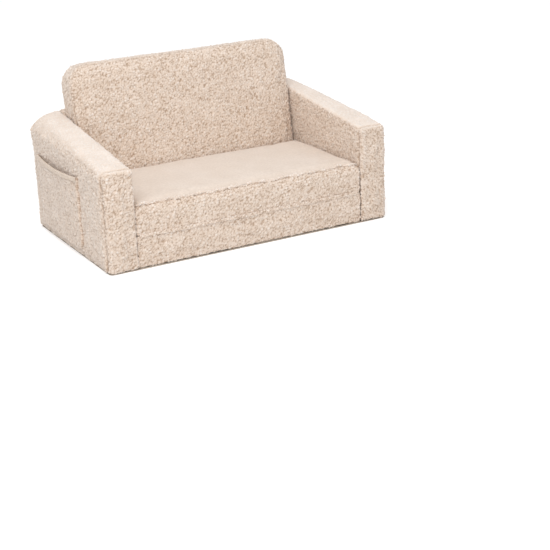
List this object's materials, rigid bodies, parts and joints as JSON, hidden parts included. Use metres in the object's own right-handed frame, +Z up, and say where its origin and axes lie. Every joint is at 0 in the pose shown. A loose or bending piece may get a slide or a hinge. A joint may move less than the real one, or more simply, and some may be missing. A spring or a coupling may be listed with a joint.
{
  "type": "convertible sofa bed",
  "caption": "Low foam sofa for a child, with padded arms, that flips open into a flat lounger: the seat turns forward onto the floor and the backrest lies down in front of it.",
  "frame": {"origin": "centre of the bounding box at floor level, sofa closed", "axes": "+X to the sitter's left along the width, +Y to the back, +Z up; the seat faces -Y"},
  "size_m": [0.8296, 0.5144, 0.4485],
  "materials": {
    "sherpa": "curly pile",
    "smooth_cloth": "short smooth pile",
    "binding": "woven tape",
    "base_cloth": "matte non-slip",
    "foam": "open-cell foam",
    "zip_tape": "woven tape",
    "zip_plastic": "satin",
    "zip_metal": "satin"
  },
  "bodies": {
    "shell": {"base_cloth": "base_cloth", "left_arm_foam": "foam", "left_arm_sleeve": "sherpa", "left_arm_front_panel": "sherpa", "right_arm_foam": "foam", "right_arm_sleeve": "sherpa", "right_arm_front_panel": "sherpa", "back_wall_foam": "foam", "back_wall_front_cloth": "sherpa", "back_wall_rear_cloth": "sherpa", "base_panel_foam": "foam", "base_panel_top_cloth": "smooth_cloth", "base_panel_band": "sherpa", "base_panel_under_cloth": "base_cloth", "front_fold_seam": "binding", "pocket_panel": "sherpa", "pocket_binding": "binding", "zip_tape": "zip_tape", "zip_chain": "zip_plastic", "zip_end_stops": "zip_metal"},
    "seat": {"seat_panel_foam": "foam", "seat_panel_top_cloth": "smooth_cloth", "seat_panel_band": "sherpa", "seat_panel_under_cloth": "smooth_cloth"},
    "backrest": {"backrest_foam": "foam", "backrest_front_cloth": "sherpa", "backrest_band": "sherpa", "backrest_rear_cloth": "smooth_cloth"},
    "zip_slider": {"zip_slider": "zip_metal"},
    "zip_pull": {"zip_pull": "zip_metal"}
  },
  "joints": [
    {"name": "seat_fold", "type": "hinge", "parent": "shell", "child": "seat", "pos_m": [0.00485, -0.25353, 0.0863], "axis": [1, 0, 0], "range_deg": [0, 180]},
    {"name": "backrest_fold", "type": "hinge", "parent": "seat", "child": "backrest", "pos_m": [0.00485, 0.11693, 0.13304], "axis": [-1, 0, 0], "range_deg": [0, 80.4]},
    {"name": "zip_slide", "type": "slide", "parent": "shell", "child": "zip_slider", "axis": [1, 0, 0], "range_m": [0, 0.619]},
    {"name": "zip_pull_turn", "type": "hinge", "parent": "zip_slider", "child": "zip_pull", "pos_m": [-0.3048, 0.25498, 0.046], "axis": [0, 0, 1], "range_deg": [0, 165]}
  ],
  "couplings": [
    {"joint": "backrest_fold", "follows": "seat_fold", "ratio": 0.44666}
  ]
}
